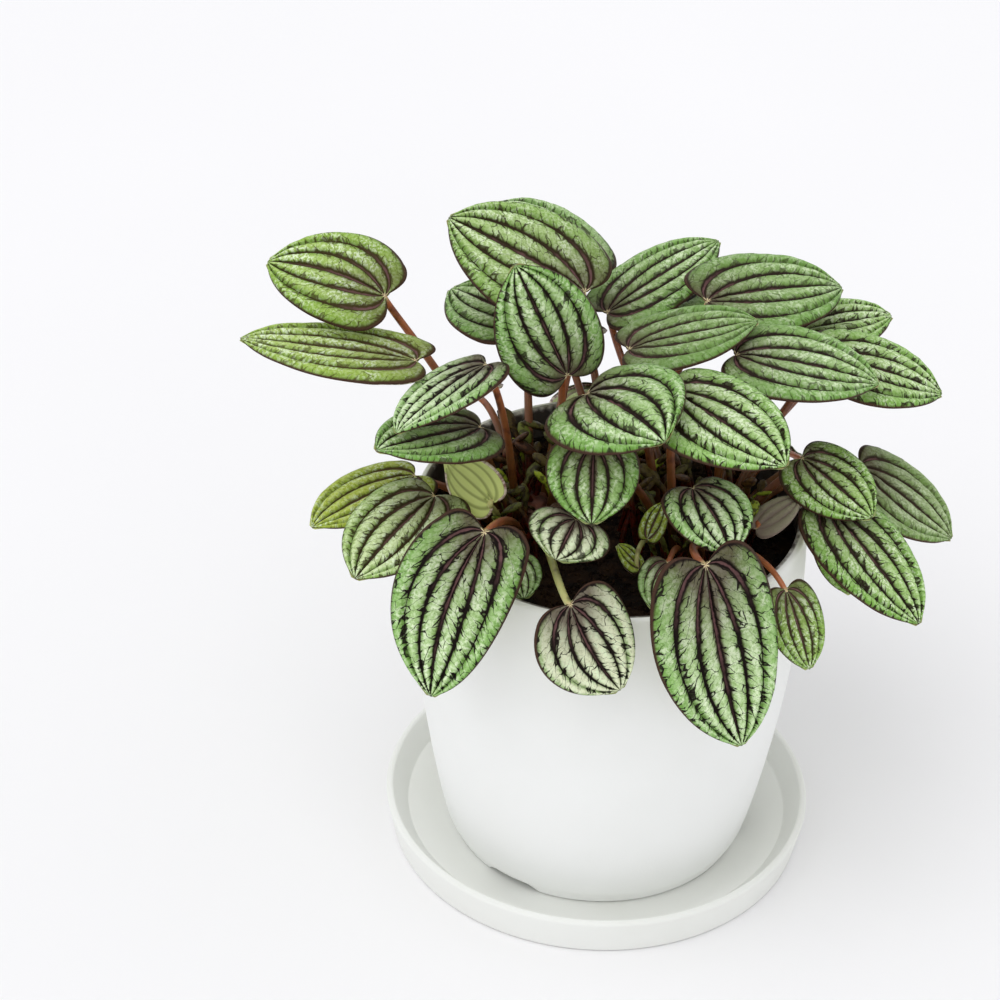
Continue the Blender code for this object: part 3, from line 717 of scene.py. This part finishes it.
# %% The saucer
SAUCER_HEIGHT = 12.0
SAUCER_RADIUS = 62.5
SAUCER_WALL = 1.6
SAUCER_TAPER = 2.0
SAUCER_FLOOR = 2.7
SAUCER_COVE = 4.5             # rounding between the floor and the wall
SAUCER_LEAN = 1.6             # how far the inside of the wall leans out
SAUCER_LIP = (0.55, 0.75)     # rounding of the rim, inside and outside
SAUCER_HEEL = 1.1             # rounding of the underside's edge
inner = SAUCER_RADIUS - SAUCER_WALL
foot = SAUCER_RADIUS - SAUCER_TAPER
saucer = turned("moulded_saucer", filleted([
    (0, SAUCER_FLOOR, 0), (30, SAUCER_FLOOR, 0), (50, SAUCER_FLOOR, 0),
    (inner - SAUCER_LEAN, SAUCER_FLOOR, SAUCER_COVE), (inner, SAUCER_HEIGHT, SAUCER_LIP[0]),
    (SAUCER_RADIUS, SAUCER_HEIGHT, SAUCER_LIP[1]), (foot, 0, SAUCER_HEEL), (foot - 3, 0, 0), (0, 0, 0)],
    arc_steps=6))
saucer.data.materials.append(saucer_plastic)

# %% The pot
POT_BOTTOM = 3.0
POT_WALL = 2.6
POT_FOOT_RADIUS = 42.5
POT_RIM_RADIUS = 55.0
POT_BELLY = [(45.0, 8.0), (49.5, 30.0), (53.5, 58.0), (55.4, 85.0)]
FOOT_RING_HEIGHT = 3.0
FOOT_RING_WIDTH = 4.0
FOOT_ARCHES = 3
FOOT_ARCH_ANGLE = 235.0
FOOT_ARCH_LENGTH = 17.0
FOOT_ARCH_HEIGHT = 2.2
DRAIN_RADIUS = 5.0
BELOW_FOOT = (41.8, -3.0)     # radius and rise of the wall's curve, run on below the foot
ABOVE_RIM = (54.4, 28.0)      # the same above the rim
POT_LIP = 0.9                 # rounding of the rim
POT_HEEL = 0.8                # rounding of the foot ring
POT_COVE = 3.5                # rounding between the inside of the wall and the floor
COVE_TOP = 4.0                # where the inside of the wall starts, above the floor
COVE_TUCK = 1.2               # the floor's corner draws in by this much
DRAIN_LIP = 0.5


def smooth_wall(knots, steps):
    """Points on a smooth curve through the knots (radius, height), evenly spaced in height."""
    points = []
    for (r0, z0), (r1, z1), (r2, z2), (r3, z3) in zip(knots, knots[1:], knots[2:], knots[3:]):
        slope_1 = (r2 - r0) / (z2 - z0)
        slope_2 = (r3 - r1) / (z3 - z1)
        for step in range(steps):
            t = step / steps
            h00, h10 = 2 * t ** 3 - 3 * t ** 2 + 1, t ** 3 - 2 * t ** 2 + t
            h01, h11 = 3 * t ** 2 - 2 * t ** 3, t ** 3 - t ** 2
            rise = z2 - z1
            radius = h00 * r1 + h10 * rise * slope_1 + h01 * r2 + h11 * rise * slope_2
            points.append((radius, z1 + t * rise))
    return points


knots = [(BELOW_FOOT[0], POT_BOTTOM + BELOW_FOOT[1]), (POT_FOOT_RADIUS, POT_BOTTOM), *POT_BELLY,
         (POT_RIM_RADIUS, POT_TOP), (ABOVE_RIM[0], POT_TOP + ABOVE_RIM[1])]
outside = smooth_wall(knots, 5)[1:]
floor_top = POT_BOTTOM + FOOT_RING_HEIGHT + POT_WALL
inside = [(r - POT_WALL, z) for r, z in outside if z > floor_top + COVE_TOP]
ring_inner = POT_FOOT_RADIUS - FOOT_RING_WIDTH
recess = POT_BOTTOM + FOOT_RING_HEIGHT


def arch_lift(point, angle):
    """How far the foot ring's underside rises at an angle, for the drainage arches."""
    spacing = math.tau / FOOT_ARCHES
    offset = (angle - math.radians(FOOT_ARCH_ANGLE) + spacing / 2) % spacing - spacing / 2
    distance = abs(offset) * point.x / (0.5 * FOOT_ARCH_LENGTH)
    low = max(0, 1 - (point.y - POT_BOTTOM) / FOOT_RING_HEIGHT)
    if distance >= 1 or point.x < ring_inner - 2:
        return 0.0
    return FOOT_ARCH_HEIGHT * low * math.cos(0.5 * math.pi * distance) ** 0.6


pot = turned("moulded_pot", filleted(
    [(DRAIN_RADIUS, recess, DRAIN_LIP), (DRAIN_RADIUS, floor_top, DRAIN_LIP),
     (inside[0][0] - COVE_TUCK, floor_top, POT_COVE)]
    + [(r, z, 0) for r, z in inside]
    + [(POT_RIM_RADIUS - POT_WALL, POT_TOP, POT_LIP), (POT_RIM_RADIUS, POT_TOP, POT_LIP)]
    + [(r, z, 0) for r, z in outside[::-1]]
    + [(POT_FOOT_RADIUS, POT_BOTTOM, POT_HEEL), (ring_inner, POT_BOTTOM, POT_HEEL),
       (ring_inner - 1, recess, POT_HEEL)], arc_steps=5), arch_lift)
pot.data.materials.append(pot_plastic)
for piece, node, slot in ((saucer, "saucer", "saucer_white"), (pot, "pot", "pot_white")):
    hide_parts(node)
    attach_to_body(piece, "root")
    print(piece.name, triangles(piece), "triangles")

# %% [markdown]
# ## Compost
# Potting compost is peat and bark crumbs of one to three millimetres. A bump on a smooth disc
# would look like a painted lid, so the crumbs are real: points are scattered over the top of a
# plug, and each carries a small chip, turned and sized at random. The seed is fixed.

# %% Compost finish
compost, tree, shader = new_material("damp_peat_compost", 0.92, Specular_IOR_Level=0.2)
place = object_place(tree)
clod = noise(tree, place, 170.0, 3.0)
fibre = noise(tree, place, 900.0, 4.0)
earth = blend(tree, smooth_step(tree, clod, 0.35, 0.65), "0E0805", "2A1B10")
earth = blend(tree, formula(tree, "0.6 * m", m=smooth_step(tree, fibre, 0.55, 0.75)), earth, "4A321D")
tree.links.new(earth, shader.inputs["Base Color"])
roughen(tree, shader, fibre, 0.7, 0.4)

# %% Scatter the crumbs
CRUMBS_PER_SQUARE_MM = 0.22
CRUMB_SIZE = (0.5, 1.5)       # mm, smallest and largest radius

crumb_tree, sizes = new_tree("compost_crumbs", Density="Float", Smallest="Float", Largest="Float",
                             Seed="Int")
normal = node_out(crumb_tree, "GeometryNodeInputNormal")
up = add_node(crumb_tree, "ShaderNodeSeparateXYZ", {0: normal}).outputs[2]
points = add_node(crumb_tree, "GeometryNodeDistributePointsOnFaces", {
    "Mesh": sizes["Geometry"], "Selection": formula(crumb_tree, "greater_than(z, 0.8)", z=up),
    "Density": sizes["Density"], "Seed": sizes["Seed"]}).outputs["Points"]
chip = node_out(crumb_tree, "GeometryNodeMeshIcoSphere", {"Radius": 1.0, "Subdivisions": 1})
spin = random_vector(crumb_tree, (0.0, 0.0, 0.0), (6.28, 6.28, 6.28), 3)
stretch = random_vector(crumb_tree, (0.6, 0.6, 0.4), (1.5, 1.2, 1.0), 5)
girth = random_number(crumb_tree, sizes["Smallest"], sizes["Largest"], 7)
size = node_out(crumb_tree, "ShaderNodeVectorMath", {0: stretch, "Scale": girth},
                operation="SCALE")
crumbs = node_out(crumb_tree, "GeometryNodeInstanceOnPoints", {
    "Points": points, "Instance": chip, "Rotation": spin, "Scale": size})
crumbs = node_out(crumb_tree, "GeometryNodeRealizeInstances", {"Geometry": crumbs})
finish_tree(crumb_tree, joined(crumb_tree, crumbs, sizes["Geometry"]), compost, smooth=False)

SOIL_GAP = 0.3                # between the plug and the pot
PLUG_TUCK = 4.3               # the plug draws in by this much at the pot's floor
MOUND = [(0, 1.0), (14, 0.9), (28, 0.6), (42, 0.25)]    # radius, share of the mound's rise
wall = [(r - SOIL_GAP, z) for r, z in inside if z < SOIL_TOP - 2]
plug = turned("compost_plug", [Vector(point) for point in (
    [(radius, SOIL_TOP + share * SOIL_MOUND) for radius, share in MOUND] + [(wall[-1][0], SOIL_TOP)]
    + wall[::-1] + [(wall[0][0] - PLUG_TUCK, floor_top + SOIL_GAP), (0, floor_top + SOIL_GAP)])])
soil = grown("potting_compost", crumb_tree, {
    "Density": CRUMBS_PER_SQUARE_MM / MM ** 2, "Smallest": CRUMB_SIZE[0] * MM,
    "Largest": CRUMB_SIZE[1] * MM, "Seed": 11}, base=plug.data)
bpy.data.objects.remove(plug)
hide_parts("soil")
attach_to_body(soil, "root")
print("compost:", triangles(soil), "triangles")

# %% [markdown]
# ## Rootstocks
# Each young plant rises from a short knobbly crown at the soil. A sphere pushed in and out by a
# noise texture gives the knobs, and flattening it gives the squat shape.

# %% Rootstock finish and shape
rootstock, tree, shader = new_material("ruddy_rootstock", 0.6)
place = object_place(tree)
knot = noise(tree, place, 240.0, 4.0)
bark = blend(tree, smooth_step(tree, knot, 0.3, 0.7), "2E130C", "63331F")
tree.links.new(bark, shader.inputs["Base Color"])
roughen(tree, shader, knot, 0.8, 0.5)

CROWN_HEIGHT = 6.0
knob_tree, sizes = new_tree("knobbly_crown", Place="Vector", Radius="Float", Height="Float")
ball = node_out(knob_tree, "GeometryNodeMeshIcoSphere", {"Radius": 1.0, "Subdivisions": 5})
spot = node_out(knob_tree, "GeometryNodeInputPosition")
drift = node_out(knob_tree, "ShaderNodeVectorMath", {0: spot, 1: sizes["Place"]},
                 operation="ADD")
knob = noise(knob_tree, drift, 2.2)
swell = formula(knob_tree, "0.55 + 0.75 * k", k=knob)
swell = node_out(knob_tree, "ShaderNodeVectorMath", {0: spot, "Scale": swell}, operation="SCALE")
ball = node_out(knob_tree, "GeometryNodeSetPosition", {"Geometry": ball, "Position": swell})
squat = node_out(knob_tree, "ShaderNodeCombineXYZ",
                 {0: sizes["Radius"], 1: sizes["Radius"], 2: sizes["Height"]})
ball = node_out(knob_tree, "GeometryNodeTransform",
                {"Geometry": ball, "Translation": sizes["Place"], "Scale": squat})
finish_tree(knob_tree, ball, rootstock)
for number, (x, y) in enumerate(CROWNS, start=1):
    place = Vector((x, y, SOIL_TOP + SOIL_MOUND + 0.45 * CROWN_HEIGHT)) * MM
    crown = grown(f"rootstock_{number}", knob_tree, {
        "Place": place, "Radius": CROWN_RADIUS * MM, "Height": 0.55 * CROWN_HEIGHT * MM})
    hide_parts(f"crown_{number}")
    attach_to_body(crown, "root")
print(len(CROWNS), "rootstocks")

# %% [markdown]
# ## New growth
# Round each crown stand the short stalks of leaves still to come, each with a folded bud. They are
# far too many to place by hand, so one sprout is built once, a bent tube with a pointed bud, and a
# tree scatters it on a disc round the crown with its own turn, lean and size.

# %% Bud finish
bud_skin, tree, shader = new_material("folded_leaf_bud", 0.45, Specular_IOR_Level=0.2)
climb = add_node(tree, "ShaderNodeAttribute", attribute_name="bud_height").outputs["Fac"]
tint = add_node(tree, "ShaderNodeAttribute", attribute_name="bud_tint").outputs["Fac"]
place = object_place(tree)
spots = noise(tree, place, 700.0)
dull = blend(tree, tint, "4A2614", "56622A")
leafy = blend(tree, smooth_step(tree, tint, 0.72, 0.85), dull, "8FA02C")
flesh = blend(tree, smooth_step(tree, climb, 0.60, 0.80), "571A0D", leafy)
flesh = blend(tree, formula(tree, "0.75 * m", m=smooth_step(tree, spots, 0.48, 0.56)), flesh, "24130A")
tree.links.new(flesh, shader.inputs["Base Color"])

# %% One sprout, scattered round a crown
SPROUTS_PER_SQUARE_MM = 0.060
SPROUT_RING = 20.0            # mm, radius of the disc that they stand on
SPROUT_HEIGHT = (7.0, 22.0)   # mm, smallest and largest

sprout_tree, sizes = new_tree("new_growth", Place="Vector", Ring="Float", Density="Float", Smallest="Float",
                              Largest="Float", Seed="Int")
disc = node_out(sprout_tree, "GeometryNodeMeshCircle", {"Vertices": 24, "Radius": sizes["Ring"]},
                fill_type="TRIANGLE_FAN")
disc = node_out(sprout_tree, "GeometryNodeTransform",
                {"Geometry": disc, "Translation": sizes["Place"]})
points = add_node(sprout_tree, "GeometryNodeDistributePointsOnFaces", {
    "Mesh": disc, "Density": sizes["Density"], "Seed": sizes["Seed"]}).outputs["Points"]
bend = node_out(sprout_tree, "GeometryNodeCurvePrimitiveBezierSegment", {
    "Resolution": 4, "Start": (0.0, 0.0, 0.0), "Start Handle": (0.0, 0.0, 0.4),
    "End Handle": (0.12, 0.0, 0.7), "End": (0.26, 0.0, 0.86)})
section = node_out(sprout_tree, "GeometryNodeCurvePrimitiveCircle",
                   {"Resolution": 5, "Radius": 0.045})
stem = node_out(sprout_tree, "GeometryNodeCurveToMesh",
                {"Curve": bend, "Profile Curve": section, "Fill Caps": True})
bud = node_out(sprout_tree, "GeometryNodeMeshUVSphere",
               {"Segments": 7, "Rings": 5, "Radius": 1.0})
bud = node_out(sprout_tree, "GeometryNodeTransform", {
    "Geometry": bud, "Translation": (0.34, 0.0, 0.92), "Rotation": (0.0, 0.9, 0.0),
    "Scale": (0.05, 0.11, 0.19)})
height = add_node(sprout_tree, "ShaderNodeSeparateXYZ",
                  {0: node_out(sprout_tree, "GeometryNodeInputPosition")}).outputs[2]
spin = random_vector(sprout_tree, (-0.25, -0.25, 0.0), (0.25, 0.25, 6.28), 3)
girth = random_number(sprout_tree, sizes["Smallest"], sizes["Largest"], 7)
tint = random_number(sprout_tree, 0.0, 1.0, 9)
sprout = store(sprout_tree, joined(sprout_tree, stem, bud), "bud_height", height)
bed = node_out(sprout_tree, "GeometryNodeInstanceOnPoints", {
    "Points": points, "Instance": sprout, "Rotation": spin, "Scale": girth})
bed = store(sprout_tree, bed, "bud_tint", tint, domain="INSTANCE")
finish_tree(sprout_tree, bed, bud_skin)
for number, (x, y) in enumerate(CROWNS, start=1):
    growth = grown(f"new_growth_{number}", sprout_tree, {
        "Place": Vector((x, y, SOIL_TOP + SOIL_MOUND - 1)) * MM, "Ring": SPROUT_RING * MM,
        "Density": SPROUTS_PER_SQUARE_MM / MM ** 2, "Smallest": SPROUT_HEIGHT[0] * MM,
        "Largest": SPROUT_HEIGHT[1] * MM, "Seed": 20 + number})
    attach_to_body(growth, "root")
    print(growth.name, triangles(growth), "triangles")

# %% [markdown]
# ## Floor, light and camera
# A pale floor, an even bright sky and one very broad sun from above the front left keep the
# shadows soft, as in a bright room. The camera looks down at the pot from the front.

# %% Floor
floor_paint, tree, shader = new_material("pale_floor", 0.7)
place = object_place(tree)
cloud = noise(tree, place, 3.0)
tree.links.new(blend(tree, cloud, "F1F0F1", "F7F6F7"), shader.inputs["Base Color"])
bpy.ops.mesh.primitive_plane_add(size=6)
floor = bpy.context.active_object
floor.name = "pale_floor"
floor.data.materials.append(floor_paint)

# %% Light
SKY_STRENGTH = 0.89
SUN_ENERGY = 0.80
SUN_SPREAD = math.radians(50)
SUN_DIRECTION = Vector((0.30, 0.35, -1.0))
world = bpy.data.worlds.new("bright_room")
bpy.context.scene.world = world
world.use_nodes = True
world.node_tree.nodes["Background"].inputs["Color"].default_value = linear("F9FAFC")
world.node_tree.nodes["Background"].inputs["Strength"].default_value = SKY_STRENGTH
lamp = bpy.data.lights.new("window_light", "SUN")
lamp.energy = SUN_ENERGY
lamp.angle = SUN_SPREAD
holder = bpy.data.objects.new("window_light", lamp)
holder.rotation_euler = SUN_DIRECTION.to_track_quat("-Z", "Y").to_euler()
bpy.context.scene.collection.objects.link(holder)

# %% Camera
LENS = 108.0                  # mm on a 36 mm sensor
PITCH = math.radians(34.33)   # how far it looks down
ROLL = math.radians(1.64)
DISTANCE = 0.8394             # metres from the point it aims at
AIM = Vector((-0.0312, 0.0, 0.1132))
camera_data = bpy.data.cameras.new("camera")
camera_data.lens = LENS
camera_data.sensor_width = 36.0
camera = bpy.data.objects.new("camera", camera_data)
camera.location = AIM + DISTANCE * Vector((0, -math.cos(PITCH), math.sin(PITCH)))
tilt = Matrix.Rotation(math.pi / 2 - PITCH, 3, "X") @ Matrix.Rotation(ROLL, 3, "Z")
camera.rotation_euler = tilt.to_euler()
bpy.context.scene.collection.objects.link(camera)
bpy.context.scene.camera = camera
bpy.context.scene.view_settings.view_transform = "Standard"
